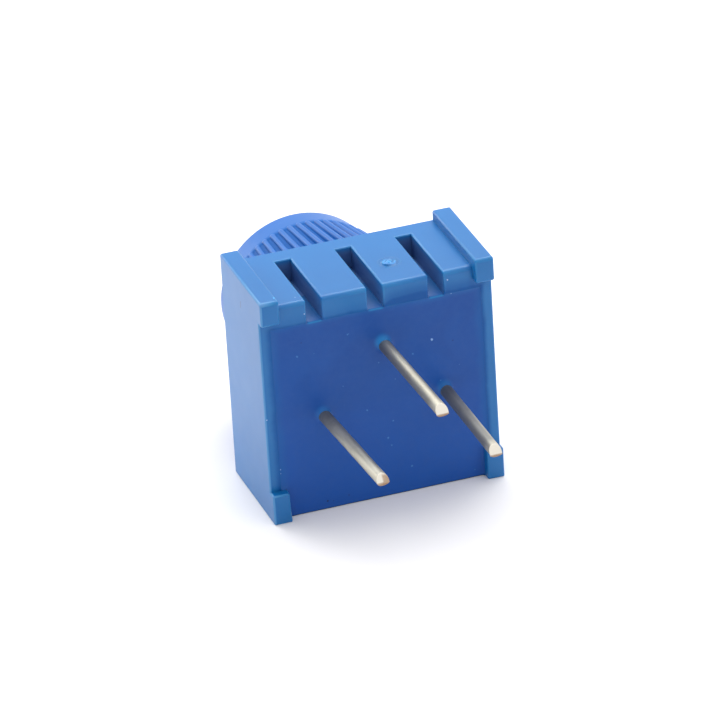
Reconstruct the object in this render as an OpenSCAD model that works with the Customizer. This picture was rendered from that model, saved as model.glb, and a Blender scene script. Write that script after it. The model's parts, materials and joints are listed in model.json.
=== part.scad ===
// Square trimmer potentiometer with a flared finger knob, lying on its side.
// X runs across the body, +Y from the terminals to the knob, Z up. Millimetres.
// The origin is under the middle of the whole part, on the side it rests on.
// Inside the modules y is counted from the plane of the four standoff feet;
// place() then moves every piece to the origin.

/* [Housing] */
// Width of the square housing
body_w = 9.58; // [8:0.01:12]
// Height of the square housing, lying on its side
body_h = 9.66; // [8:0.01:12]
// Depth from the standoff feet to the knob side face
body_d = 4.92; // [4.5:0.01:7]
// Length of the standoff feet beyond the wall ends
foot_l = 0.38; // [0.2:0.01:0.8]
// Width of the two upper feet
foot_w = 0.78; // [0.4:0.01:1.2]
// Width of the two lower feet and of the lower end rails
foot_low_w = 0.7; // [0.4:0.01:1.2]
// Height of the two upper feet
foot_top_h = 1.02; // [0.5:0.01:2]
// Height of the two lower feet
foot_low_h = 1.28; // [0.5:0.01:2]
// Height of the end rails above the recessed upper side
rail_top = 0.41; // [0.1:0.01:0.8]
// Height of the end rails below the recessed lower side
rail_low = 0.03; // [0.02:0.01:0.3]
// Width of an upper end rail at its top
rail_w = 0.77; // [0.4:0.01:1.2]
// Extra width of an upper end rail at its root
rail_draft = 0.02; // [0.02:0.01:0.2]
// Thickness of the left and right walls
wall_side = 0.47; // [0.3:0.01:1]
// Height of the lower wall above the resting plane
wall_low = 0.6; // [0.3:0.01:1.2]
// Distance of the lower wall's end from the feet plane, under the potting
low_y = 0.8; // [0.6:0.01:1.2]
// Thickness of the slotted upper wall
wall_top = 0.96; // [0.5:0.01:1.5]
// Thickness of the wall on the knob side
wall_knob = 0.85; // [0.6:0.01:1.2]

/* [Slots] */
// Pitch of the three slots
slot_p = 2.5; // [2:0.01:3]
// Width of a slot
slot_w = 0.64; // [0.4:0.01:1]
// Distance of the closed slot end from the feet plane
slot_end = 4.12; // [3:0.01:4.5]

/* [Adjuster] */
// Height of the turning axis above the resting plane
axis_z = 4.66; // [4:0.01:5.5]
// Radius of the rotor post
post_r = 1.55; // [1:0.01:2]
// Running clearance of the post in its bore
post_c = 0.05; // [0.02:0.01:0.1]
// Radius of the rotor flange
flange_r = 2.7; // [2:0.01:3]
// Tip radius of the stop lug on the flange
lug_r = 3.15; // [2.8:0.01:3.25]
// Half angle of the stop lug and of the stop rib
stop_a = 11; // [8:0.5:14]
// Radius of the rotor chamber
chamber_r = 3.3; // [3:0.01:3.5]

/* [Knob] */
// Distance of the knob far face from the feet plane
knob_y1 = 10.36; // [8:0.01:14]
// Gap between the knob and the housing
knob_gap = 0.2; // [0.1:0.01:0.5]
// Radius over the ribs at the far face
knob_rt = 3.33; // [2.5:0.01:4]
// Growth of the radius for each millimetre toward the housing
knob_k = 0.18; // [0:0.01:0.3]
// Number of grip ribs
ribs = 58; // [24:1:72]
// Angle of the first groove
rib_a0 = 128.6; // [0:0.1:360]
// Length of the plain band at the far end
band_l = 1.28; // [0.3:0.01:1.5]
// Groove depth at the band
groove_d0 = 0.10; // [0.05:0.01:0.2]
// Groove depth at the housing end
groove_d1 = 0.17; // [0.05:0.01:0.3]
// Width of a groove floor
groove_w = 0.11; // [0.05:0.01:0.2]
// Driver slot width on the far face
drive_w = 0.7; // [0.4:0.01:1]
// Driver slot length
drive_l = 4.4; // [3:0.01:5.5]
// Driver slot depth
drive_d = 0.9; // [0.4:0.01:1.2]

/* [Terminals] */
// Terminal diameter
pin_d = 0.51; // [0.4:0.01:0.55]
// Reach of the left terminal beyond the feet
pin_l1 = 5.62; // [3:0.01:5.8]
// Reach of the middle terminal beyond the feet, the longest
pin_l2 = 5.85; // [5.8:0.01:8]
// Reach of the right terminal beyond the feet
pin_l3 = 5.27; // [3:0.01:5.8]
// Lean of the left terminal, degrees
pin_a1 = 2.9; // [-4:0.1:4]
// Lean of the middle terminal, degrees
pin_a2 = 1.5; // [-4:0.1:4]
// Lean of the right terminal, degrees
pin_a3 = 0; // [-4:0.1:4]
// Pitch between neighbouring terminals across the body
pin_p = 2.54; // [2.3:0.01:2.7]
// Offset of the terminal pattern across the body
pin_dx = 0.19; // [-0.3:0.01:0.3]
// Further offset of the middle terminal
pin_mx = 0.06; // [-0.1:0.01:0.1]
// Further offset of the right terminal
pin_rx = -0.06; // [-0.1:0.01:0.1]
// Height of the two lower terminals
pin_z = 4.11; // [3.6:0.01:4.4]
// Radius of the terminal collar inside the potting
root_r = 0.42; // [0.41:0.01:0.43]
// Length of the sheared facet on each tip
tip_l = 0.32; // [0.2:0.01:0.6]
// Depth of the chisel edge below the wire axis
tip_z = 0.12; // [0.02:0.01:0.16]
// Length of the short facet under the chisel edge
tip_b = 0.14; // [0.08:0.01:0.2]

/* [Element] */
// Front face of the ceramic, seen from the feet plane
cer_y = 2.65; // [2.3:0.01:3]
// Thickness of the ceramic
cer_t = 0.6; // [0.4:0.01:1]
// Thickness of the printed layers
ink_t = 0.03; // [0.02:0.01:0.05]
// Inner radius of the resistive track
track_r0 = 1.45; // [1.2:0.01:1.6]
// Outer radius of the resistive track
track_r1 = 2.05; // [1.8:0.01:2.2]
// Surface of the potting, seen from the feet plane
pot_y = 0.42; // [0.38:0.01:0.8]

/* [Hidden] */
$fn = 96;

blue = [0.20, 0.42, 0.78];
deck_z = body_h - rail_top;
pocket_x = body_w/2 - wall_side;
pocket_z1 = deck_z - wall_top;
knob_y0 = body_d + knob_gap;
knob_len = knob_y1 - knob_y0;
knob_rb = knob_rt + knob_k*knob_len;
P1 = [pin_dx - pin_p, pin_z];
P2 = [pin_dx + pin_mx, pin_z + pin_p];
P3 = [pin_dx + pin_p + pin_rx, pin_z];
cer_b = cer_y - cer_t;         // back face of the ceramic
men_y = pot_y - 0.13;          // tip of the meniscus around a terminal

// from the feet plane to the middle of the whole length
module place() {
    translate([0, -(knob_y1 - pin_l2)/2, 0]) children();
}
// cylinder along +Y from y0 to y1 about (x, z)
module ycyl(x, z, y0, y1, r0, r1) {
    translate([x, y0, z]) rotate([-90, 0, 0]) cylinder(h = y1 - y0, r1 = r0, r2 = r1);
}
// solid of revolution about the turning axis; points are [radius, y]
module yrev(pts) {
    translate([0, 0, axis_z]) rotate([-90, 0, 0]) rotate_extrude() polygon(pts);
}
// slab in the XZ plane from y0 to y1 about the turning axis; polygon given as [x, z]
module yslab(y0, y1) {
    translate([0, y1, axis_z]) rotate([90, 0, 0]) linear_extrude(height = y1 - y0) children();
}
// pie slice polygon between two angles, seen against +Y
module pie(a0, a1, r) {
    polygon(concat([[0, 0]], [for (i = [0:6]) let (a = a0 + (a1 - a0)*i/6) [r*cos(a), r*sin(a)]]));
}

module rail(sx) {
    // upper end rail with a drafted inner side, full depth
    translate([0, body_d, 0]) rotate([90, 0, 0]) linear_extrude(height = body_d - foot_l)
        polygon([[sx*body_w/2, deck_z - 0.5], [sx*body_w/2, body_h],
                 [sx*(body_w/2 - rail_w), body_h],
                 [sx*(body_w/2 - rail_w - rail_draft), deck_z],
                 [sx*(body_w/2 - rail_w - rail_draft), deck_z - 0.5]]);
    // lower end rail
    translate([sx > 0 ? body_w/2 - foot_low_w : -body_w/2, foot_l, 0])
        cube([foot_low_w, body_d - foot_l, 0.5]);
}

// standoff feet, rooted 0.6 mm into the potting
module feet() {
    for (sx = [-1, 1]) {
        translate([sx > 0 ? body_w/2 - foot_w : -body_w/2, 0, body_h - foot_top_h])
            cube([foot_w, foot_l + 0.6, foot_top_h]);
        translate([sx > 0 ? body_w/2 - foot_low_w : -body_w/2, 0, 0])
            cube([foot_low_w, foot_l + 0.6, foot_low_h]);
    }
}

module housing() {
    color(blue) place() {
    feet();
    difference() {
        union() {
            translate([-body_w/2, foot_l, rail_low])
                cube([body_w, body_d - foot_l, deck_z - rail_low]);
            for (sx = [-1, 1]) rail(sx);
        }
        // the lower wall stops short, and the potting runs over its end
        translate([-pocket_x, -1, -1])
            cube([2*pocket_x, low_y + 1, wall_low + 1.1]);
        // pocket for the element and the potting
        translate([-pocket_x, -1, wall_low])
            cube([2*pocket_x, cer_y + 1, pocket_z1 - wall_low]);
        // rotor chamber with its stop rib left standing at the top
        difference() {
            ycyl(0, axis_z, cer_y - 0.1, body_d - wall_knob, chamber_r, chamber_r);
            yslab(3.38, body_d) intersection() {
                pie(90 - stop_a, 90 + stop_a, 5);
                translate([-2, 2.8]) square([4, 2]);
            }
        }
        // ring gland and bore
        ycyl(0, axis_z, body_d - wall_knob - 0.1, body_d - 0.35, 2.06, 2.06);
        ycyl(0, axis_z, body_d - 0.5, body_d + 1, post_r + post_c, post_r + post_c);
        // terminal slots through the upper wall
        for (i = [-1:1])
            translate([i*slot_p - slot_w/2, -1, pocket_z1])
                cube([slot_w, slot_end + 1, 2]);
    }
    }
}

module potting() {
    color([0.13, 0.26, 0.52]) place()
    difference() {
        union() {
            translate([-pocket_x, pot_y, wall_low])
                cube([2*pocket_x, cer_y - pot_y, pocket_z1 - wall_low]);
            translate([-pocket_x, pot_y, rail_low])
                cube([2*pocket_x, low_y - pot_y, wall_low - rail_low + 0.1]);
            // meniscus around each terminal
            for (p = [P1, P2, P3]) ycyl(p[0], p[1], men_y, pot_y + 0.01, root_r + 0.01, 0.56);
        }
        ceramic_block(1);
        feet();
        for (p = [P1, P2, P3]) {
            ycyl(p[0], p[1], -1, cer_y, root_r, root_r);
            ycyl(p[0], p[1], cer_b - ink_t, cer_b + 0.3, 0.7, 0.7);
            ycyl(p[0], p[1], cer_b - ink_t - 0.4, cer_b - ink_t, 0.48, 0.62);
        }
    }
}

// ceramic plate, extended by e past its front face
module ceramic_block(e) {
    translate([-pocket_x + 0.15, cer_b, wall_low + 0.15])
        cube([2*pocket_x - 0.3, cer_t + e, pocket_z1 - wall_low - 0.3]);
}
module element_substrate() {
    color([0.93, 0.92, 0.88]) place()
    difference() {
        ceramic_block(0);
        for (p = [P1, P2, P3]) ycyl(p[0], p[1], 0, cer_y + 1, root_r, root_r);
    }
}

module resistive_track() {
    color([0.10, 0.10, 0.10]) place()
    yslab(cer_y, cer_y + ink_t) difference() {
        circle(r = track_r1);
        circle(r = track_r0);
        pie(60, 120, 4);
    }
}

// printed conductor from one track end, around the outside, to its terminal
module end_lead(a0, a1, b1, p) {
    yslab(cer_y, cer_y + ink_t) {
        difference() {
            circle(r = 2.65);
            circle(r = 2.2);
            difference() { circle(r = 4); pie(min(a0, b1), max(a0, b1), 4.5); }
        }
        intersection() {
            pie(min(a0, a1), max(a0, a1), 4);
            difference() { circle(r = 2.4); circle(r = track_r0); }
        }
        difference() {
            translate([p[0], p[1] - axis_z]) circle(r = 0.5);
            circle(r = 2.15);
        }
    }
}
module end_conductor_1() { color([0.80, 0.80, 0.78]) place() end_lead(114, 120, 198, P1); }
module end_conductor_3() { color([0.80, 0.80, 0.78]) place() end_lead(66, 60, -18, P3); }

module collector_track() {
    color([0.80, 0.80, 0.78]) place()
    yslab(cer_y, cer_y + ink_t) {
        difference() { circle(r = 1.12); circle(r = 0.62); }
        translate([P2[0] - 0.17, 1.0]) square([0.34, 0.8]);
        translate([P2[0], P2[1] - axis_z]) circle(r = 0.45);
    }
}

module back_pad(p) {
    color([0.80, 0.80, 0.78]) place()
    difference() {
        ycyl(p[0], p[1], cer_b - ink_t, cer_b, 0.7, 0.7);
        ycyl(p[0], p[1], 0, cer_y, root_r, root_r);
    }
}
module back_pad_1() { back_pad(P1); }
module back_pad_2() { back_pad(P2); }
module back_pad_3() { back_pad(P3); }

module solder(p) {
    color([0.75, 0.76, 0.77]) place()
    difference() {
        ycyl(p[0], p[1], cer_b - ink_t - 0.4, cer_b - ink_t, 0.48, 0.62);
        ycyl(p[0], p[1], 0, cer_y, root_r, root_r);
    }
}
module solder_1() { solder(P1); }
module solder_2() { solder(P2); }
module solder_3() { solder(P3); }

// collar in the potting, then a round pin that leans by a degrees and ends in
// a sheared facet
module terminal(p, l, a) {
    color([0.85, 0.84, 0.78]) place()
    union() {
        ycyl(p[0], p[1], men_y, cer_y, root_r, root_r);
        translate([p[0], men_y + 0.06, p[1]]) rotate([0, 0, a]) difference() {
            rotate([90, 0, 0]) cylinder(h = l + men_y + 0.06, r = pin_d/2);
            translate([-1, -(l + men_y + 0.06), 0]) rotate([90, 0, 90]) linear_extrude(height = 2) {
                polygon([[-0.1, -tip_z], [0, -tip_z], [tip_l, pin_d/2 + 0.01], [tip_l, 0.6], [-0.1, 0.6]]);
                polygon([[-0.1, -tip_z - 0.001], [0, -tip_z - 0.001], [tip_b, -pin_d/2 - 0.01], [tip_b, -0.6], [-0.1, -0.6]]);
            }
        }
    }
}
module terminal_1() { terminal(P1, pin_l1, pin_a1); }
module terminal_2() { terminal(P2, pin_l2, pin_a2); }
module terminal_3() { terminal(P3, pin_l3, pin_a3); }

module rotor() {
    color([0.86, 0.85, 0.80]) place()
    union() {
        yrev([[0, 3.4], [flange_r, 3.4], [flange_r, body_d - wall_knob - 0.05],
              [post_r, body_d - wall_knob - 0.05], [post_r, 4.14], [1.33, 4.14],
              [1.33, 4.52], [post_r, 4.52], [post_r, 8.25], [post_r - 0.15, 8.4], [0, 8.4]]);
        // stop lug
        yslab(3.4, body_d - wall_knob - 0.05) intersection() {
            pie(270 - stop_a, 270 + stop_a, 5);
            difference() { circle(r = lug_r); circle(r = 2.4); }
        }
        // heat stakes that hold the wiper
        for (x = [-0.5, 0.5]) ycyl(x, axis_z + 0.1, 3.22, 3.5, 0.22, 0.22);
    }
}

module o_ring() {
    // squeezed round section in the post groove
    color([0.08, 0.08, 0.09]) place()
    yrev([[1.33, 4.22], [1.33, 4.44], [1.41, 4.505], [1.69, 4.515], [1.96, 4.505], [2.04, 4.44],
          [2.04, 4.22], [1.96, 4.155], [1.69, 4.145], [1.41, 4.155]]);
}

// bent spring finger of the wiper: side profile in outward distance and y, given width
module finger(x0, w, pts) {
    translate([x0, 0, axis_z]) rotate([0, 90, 0]) linear_extrude(height = w) polygon(pts);
}
module wiper() {
    color([0.82, 0.70, 0.42]) place()
    union() {
        difference() {
            yslab(3.3, 3.4) translate([-0.95, -1.0]) square([1.9, 1.6]);
            for (x = [-0.5, 0.5]) ycyl(x, axis_z + 0.1, 3, 4, 0.22, 0.22);
        }
        // three fingers on the resistive track
        for (x = [-0.4, -0.1, 0.2])
            finger(x, 0.2, [[0.9, 3.4], [1.2, 3.4], [1.82, 2.86], [1.82, 2.7], [1.68, 2.7],
                            [1.66, 2.8], [1.16, 3.3], [0.9, 3.3]]);
        // two fingers on the collector track
        for (x = [-0.28, 0.08])
            finger(x, 0.2, [[-0.5, 3.4], [-0.64, 3.4], [-0.98, 2.86], [-0.98, 2.7], [-0.84, 2.7],
                            [-0.82, 2.84], [-0.6, 3.3], [-0.5, 3.3]]);
    }
}

module knob() {
    color([0.25, 0.42, 0.82]) place()
    difference() {
        yrev([[knob_rb, knob_y0], [knob_rt + knob_k*0.12, knob_y1 - 0.12], [knob_rt - 0.02, knob_y1 - 0.05],
              [knob_rt - 0.1, knob_y1], [0, knob_y1], [0, 8.4], [post_r, 8.4], [post_r, knob_y0],
              [2.35, knob_y0], [2.35, knob_y0 + 2.6], [2.95, knob_y0 + 2.6], [3.45, knob_y0]]);
        // grip grooves
        translate([0, knob_y0, axis_z]) rotate([-90, 0, 0])
            for (i = [0:ribs - 1]) rotate([0, 0, -rib_a0 + i*360/ribs])
                translate([knob_rb - groove_d1, 0, 0])
                rotate([0, -atan(knob_k - (groove_d1 - groove_d0)/(knob_len - band_l)), 0])
                translate([0, 0, -0.3])
                linear_extrude(height = knob_len - band_l + 0.3)
                    polygon([[0, -groove_w/2], [0.4, -groove_w/2 - 0.16], [0.4, groove_w/2 + 0.16], [0, groove_w/2]]);
        // driver slot and pointer notch on the far face
        translate([-drive_w/2, knob_y1 - drive_d, axis_z - drive_l/2]) cube([drive_w, drive_d + 1, drive_l]);
        yslab(knob_y1 - 0.3, knob_y1 + 1) polygon([[-0.62, 2.1], [0.62, 2.1], [0, 2.95]]);
    }
}

housing();
potting();
knob();
rotor();
o_ring();
wiper();
element_substrate();
resistive_track();
collector_track();
end_conductor_1();
end_conductor_3();
back_pad_1();
back_pad_2();
back_pad_3();
solder_1();
solder_2();
solder_3();
terminal_1();
terminal_2();
terminal_3();
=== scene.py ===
"""Looks of a square trimmer potentiometer with a flared, ribbed finger knob.

Shapes are made in millimetres in a working frame: x across the body, y from the
plane of the standoff feet toward the knob, z up. TO_M carries them to the frame.
"""
import json
import math

import bpy
import bmesh
from mathutils import Euler, Matrix, Vector, noise
from mathutils.geometry import tessellate_polygon


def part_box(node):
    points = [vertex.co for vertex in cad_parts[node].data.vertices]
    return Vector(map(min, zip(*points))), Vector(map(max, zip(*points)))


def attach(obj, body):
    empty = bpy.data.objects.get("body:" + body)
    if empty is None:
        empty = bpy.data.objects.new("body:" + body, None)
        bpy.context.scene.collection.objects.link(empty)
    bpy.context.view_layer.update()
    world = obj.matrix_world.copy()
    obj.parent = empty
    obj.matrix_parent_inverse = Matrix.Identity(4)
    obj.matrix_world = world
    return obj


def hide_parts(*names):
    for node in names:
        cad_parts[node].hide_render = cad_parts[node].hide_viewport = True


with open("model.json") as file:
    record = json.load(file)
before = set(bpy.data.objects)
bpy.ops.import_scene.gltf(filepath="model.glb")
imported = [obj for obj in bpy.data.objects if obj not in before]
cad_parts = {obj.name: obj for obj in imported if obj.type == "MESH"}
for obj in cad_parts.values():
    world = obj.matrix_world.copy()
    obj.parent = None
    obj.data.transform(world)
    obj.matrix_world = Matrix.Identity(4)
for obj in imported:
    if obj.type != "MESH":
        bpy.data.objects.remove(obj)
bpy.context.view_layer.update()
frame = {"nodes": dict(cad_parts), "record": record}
NODES = frame["nodes"]
REC = frame["record"]
scene = bpy.context.scene

# ---------------------------------------------------------------- frame sizes
h_lo, h_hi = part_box("housing")
OY = h_lo.y                                    # the feet plane, in metres
TO_M = Matrix.Translation((0, OY, 0)) @ Matrix.Scale(0.001, 4)
W2 = h_hi.x * 1000                             # half width of the body
BH = h_hi.z * 1000                             # height of the body
BD = (h_hi.y - OY) * 1000                      # depth from feet to knob side
k_lo, k_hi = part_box("knob")
KY0 = (k_lo.y - OY) * 1000
KY1 = (k_hi.y - OY) * 1000
AZ = (k_lo.z + k_hi.z) * 500                   # height of the turning axis
KRB = (k_hi.z - k_lo.z) * 500                  # knob radius at the body
p_lo, p_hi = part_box("potting")
POCK_X = p_hi.x * 1000
POCK_Z1 = p_hi.z * 1000
DECK = BH - 0.41                               # recessed upper side between the rails
FOOT_L = 0.38
FOOT_U = (0.78, 1.02)                          # upper feet, width and height
FOOT_D = (0.70, 1.28)                          # lower feet
SLOT_P, SLOT_H = 2.5, 0.32                     # slot pitch and half width
POT_Y = 0.42
PINS = {m["name"]: m for m in REC["mounts"] if m["kind"] == "pin"}


def smooth(t):
    t = max(0.0, min(1.0, t))
    return t * t * (3 - 2 * t)


# ---------------------------------------------------------------- mesh helpers
def finish_mesh(bm, name, body, replaces=(), smooth_angle=None, mats=()):
    """bmesh in working millimetres to a piece that rides on a body."""
    bmesh.ops.recalc_face_normals(bm, faces=bm.faces)
    bm.transform(TO_M)
    me = bpy.data.meshes.new(name)
    bm.to_mesh(me)
    bm.free()
    ob = bpy.data.objects.new(name, me)
    scene.collection.objects.link(ob)
    for m in mats:
        me.materials.append(m)
    if smooth_angle is not None:
        me.polygons.foreach_set("use_smooth", [True] * len(me.polygons))
        me.set_sharp_from_angle(angle=math.radians(smooth_angle))
    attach(ob, body)
    if replaces:
        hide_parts(*replaces)
    return ob


def flatten_shading(ob):
    """Large flat faces keep their own normal, so the roundings beside them don't tilt their shading."""
    mod = ob.modifiers.new("weigh", "WEIGHTED_NORMAL")
    mod.mode = "FACE_AREA"
    mod.weight = 50
    mod.keep_sharp = True
    dg = bpy.context.evaluated_depsgraph_get()
    me = bpy.data.meshes.new_from_object(ob.evaluated_get(dg), preserve_all_data_layers=True, depsgraph=dg)
    ob.modifiers.clear()
    old, ob.data = ob.data, me
    name = old.name
    bpy.data.meshes.remove(old)
    me.name = name


def box_bm(x0, x1, y0, y1, z0, z1):
    bm = bmesh.new()
    bmesh.ops.create_cube(bm, size=1)
    for v in bm.verts:
        v.co = Vector((x0 if v.co.x < 0 else x1, y0 if v.co.y < 0 else y1, z0 if v.co.z < 0 else z1))
    bmesh.ops.recalc_face_normals(bm, faces=bm.faces)
    return bm


def prism_bm(pts, y0, y1):
    """Polygon of (x, z) carried from y0 to y1."""
    bm = bmesh.new()
    a = [bm.verts.new((x, y0, z)) for x, z in pts]
    b = [bm.verts.new((x, y1, z)) for x, z in pts]
    n = len(pts)
    bm.faces.new(a)
    bm.faces.new(b[::-1])
    for i in range(n):
        bm.faces.new((a[i], b[i], b[(i + 1) % n], a[(i + 1) % n]))
    bmesh.ops.recalc_face_normals(bm, faces=bm.faces)
    return bm


def cyl_bm(cx, cz, r, y0, y1, n=96):
    return prism_bm([(cx + r * math.cos(2 * math.pi * i / n), cz + r * math.sin(2 * math.pi * i / n))
                     for i in range(n)], y0, y1)


def temp(bm, name="tmp"):
    me = bpy.data.meshes.new(name)
    bm.to_mesh(me)
    bm.free()
    ob = bpy.data.objects.new(name, me)
    scene.collection.objects.link(ob)
    return ob


def combine(base, other, op):
    """Exact boolean on temporary objects; the result replaces base's mesh."""
    mod = base.modifiers.new("b", "BOOLEAN")
    mod.operation = op
    mod.solver = "EXACT"
    mod.object = other
    dg = bpy.context.evaluated_depsgraph_get()
    me = bpy.data.meshes.new_from_object(base.evaluated_get(dg))
    base.modifiers.clear()
    old = base.data
    base.data = me
    bpy.data.meshes.remove(old)
    om = other.data
    bpy.data.objects.remove(other)
    bpy.data.meshes.remove(om)
    return base


def take_bm(ob):
    bm = bmesh.new()
    bm.from_mesh(ob.data)
    me = ob.data
    bpy.data.objects.remove(ob)
    bpy.data.meshes.remove(me)
    return bm


# ---------------------------------------------------------------- node helpers
class Tree:
    """A small wrapper that makes shader nodes by type and links them by name."""

    def __init__(self, name):
        self.mat = bpy.data.materials.new(name)
        self.mat.use_nodes = True
        self.t = self.mat.node_tree
        self.t.nodes.clear()
        self.out = self.t.nodes.new("ShaderNodeOutputMaterial")
        self.bsdf = self.t.nodes.new("ShaderNodeBsdfPrincipled")
        self.t.links.new(self.bsdf.outputs["BSDF"], self.out.inputs["Surface"])
        self.co = self.t.nodes.new("ShaderNodeTexCoord").outputs["Object"]

    def set(self, **kw):
        for k, v in kw.items():
            self.bsdf.inputs[k.replace("_", " ")].default_value = v
        return self

    def link(self, a, socket):
        self.t.links.new(a, self.bsdf.inputs[socket])

    def noise(self, scale, detail=3.0, rough=0.5, distort=0.0, co=None, stretch=None):
        n = self.t.nodes.new("ShaderNodeTexNoise")
        n.inputs["Scale"].default_value = scale
        n.inputs["Detail"].default_value = detail
        n.inputs["Roughness"].default_value = rough
        n.inputs["Distortion"].default_value = distort
        src = co or self.co
        if stretch:
            m = self.t.nodes.new("ShaderNodeMapping")
            m.inputs["Scale"].default_value = stretch
            self.t.links.new(src, m.inputs["Vector"])
            src = m.outputs["Vector"]
        self.t.links.new(src, n.inputs["Vector"])
        return n.outputs["Fac"]

    def voronoi(self, scale, feature="F1", out="Distance", stretch=None, rnd=1.0):
        n = self.t.nodes.new("ShaderNodeTexVoronoi")
        n.feature = feature
        n.inputs["Scale"].default_value = scale
        n.inputs["Randomness"].default_value = rnd
        src = self.co
        if stretch:
            m = self.t.nodes.new("ShaderNodeMapping")
            m.inputs["Scale"].default_value = stretch
            self.t.links.new(src, m.inputs["Vector"])
            src = m.outputs["Vector"]
        self.t.links.new(src, n.inputs["Vector"])
        return n

    def ramp(self, fac, stops, interp="LINEAR"):
        r = self.t.nodes.new("ShaderNodeValToRGB")
        r.color_ramp.interpolation = interp
        el = r.color_ramp.elements
        while len(el) < len(stops):
            el.new(0.5)
        for e, (p, c) in zip(el, stops):
            e.position = p
            e.color = (c, c, c, 1) if isinstance(c, (int, float)) else (*c, 1)
        self.t.links.new(fac, r.inputs["Fac"])
        return r.outputs["Color"]

    def remap(self, fac, a, b, c, d, clamp=True, kind="LINEAR"):
        m = self.t.nodes.new("ShaderNodeMapRange")
        m.interpolation_type = kind
        m.clamp = clamp
        for i, v in zip(("From Min", "From Max", "To Min", "To Max"), (a, b, c, d)):
            m.inputs[i].default_value = v
        self.t.links.new(fac, m.inputs["Value"])
        return m.outputs["Result"]

    def math(self, op, a, b=None, c=None, clamp=False):
        m = self.t.nodes.new("ShaderNodeMath")
        m.operation = op
        m.use_clamp = clamp
        for i, v in enumerate((a, b, c)):
            if v is None:
                continue
            if isinstance(v, (int, float)):
                m.inputs[i].default_value = v
            else:
                self.t.links.new(v, m.inputs[i])
        return m.outputs[0]

    def mix(self, fac, a, b, blend="MIX"):
        m = self.t.nodes.new("ShaderNodeMix")
        m.data_type = "RGBA"
        m.blend_type = blend
        m.clamp_result = False
        for sock, v in ((m.inputs[0], fac), (m.inputs[6], a), (m.inputs[7], b)):
            if isinstance(v, (int, float)):
                sock.default_value = v
            elif isinstance(v, (tuple, list)):
                sock.default_value = (*v, 1) if len(v) == 3 else v
            else:
                self.t.links.new(v, sock)
        return m.outputs[2]

    def xyz(self):
        s = self.t.nodes.new("ShaderNodeSeparateXYZ")
        self.t.links.new(self.co, s.inputs[0])
        return s.outputs

    def attr(self, name):
        a = self.t.nodes.new("ShaderNodeAttribute")
        a.attribute_name = name
        return a.outputs["Fac"]

    def bump(self, parts):
        """parts: list of (height socket, strength, distance in metres)."""
        prev = None
        for h, strength, dist in parts:
            b = self.t.nodes.new("ShaderNodeBump")
            b.inputs["Strength"].default_value = strength
            b.inputs["Distance"].default_value = dist
            self.t.links.new(h, b.inputs["Height"])
            if prev:
                self.t.links.new(prev, b.inputs["Normal"])
            prev = b.outputs["Normal"]
        self.t.links.new(prev, self.bsdf.inputs["Normal"])


def speck_mask(tr, scale, size, keep):
    """Small dots of about size/scale metres across; keep is the share of cells with one."""
    v = tr.voronoi(scale)
    near = tr.remap(v.outputs["Distance"], size * 0.55, size, 1.0, 0.0)
    sep = tr.t.nodes.new("ShaderNodeSeparateColor")
    tr.t.links.new(v.outputs["Color"], sep.inputs[0])
    pick = tr.remap(sep.outputs[0], 1 - keep, 1 - keep + 0.01, 0.0, 1.0)
    return tr.math("MULTIPLY", near, pick)


def slot_shade(tr):
    """Painted shade: 1 deep inside the slots of the upper wall, 0 elsewhere, weaker toward the front opening."""
    x, y, z = tr.xyz()
    k = tr.math("ROUND", tr.math("DIVIDE", x, SLOT_P / 1000))
    d = tr.math("ABSOLUTE", tr.math("SUBTRACT", x, tr.math("MULTIPLY", k, SLOT_P / 1000)))
    inside = tr.remap(d, SLOT_H / 1000 + 0.000002, SLOT_H / 1000 + 0.00004, 1.0, 0.0)
    inside = tr.math("MULTIPLY", inside, tr.remap(tr.math("ABSOLUTE", x), 0.0030, 0.0031, 1.0, 0.0))
    inside = tr.math("MULTIPLY", inside, tr.remap(y, OY + 0.00414, OY + 0.00418, 1.0, 0.0))
    inside = tr.math("MULTIPLY", inside, tr.remap(z, POCK_Z1 / 1000 - 0.00005, POCK_Z1 / 1000 - 0.00002, 0.0, 1.0))
    deep = tr.remap(z, DECK / 1000 - 0.00030, DECK / 1000 - 0.00003, 1.0, 0.0, kind="SMOOTHSTEP")
    back = tr.remap(y, OY + 0.0003, OY + 0.0016, 0.60, 1.0, kind="SMOOTHSTEP")
    return tr.math("MULTIPLY", inside, tr.math("MULTIPLY", deep, back))


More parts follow.
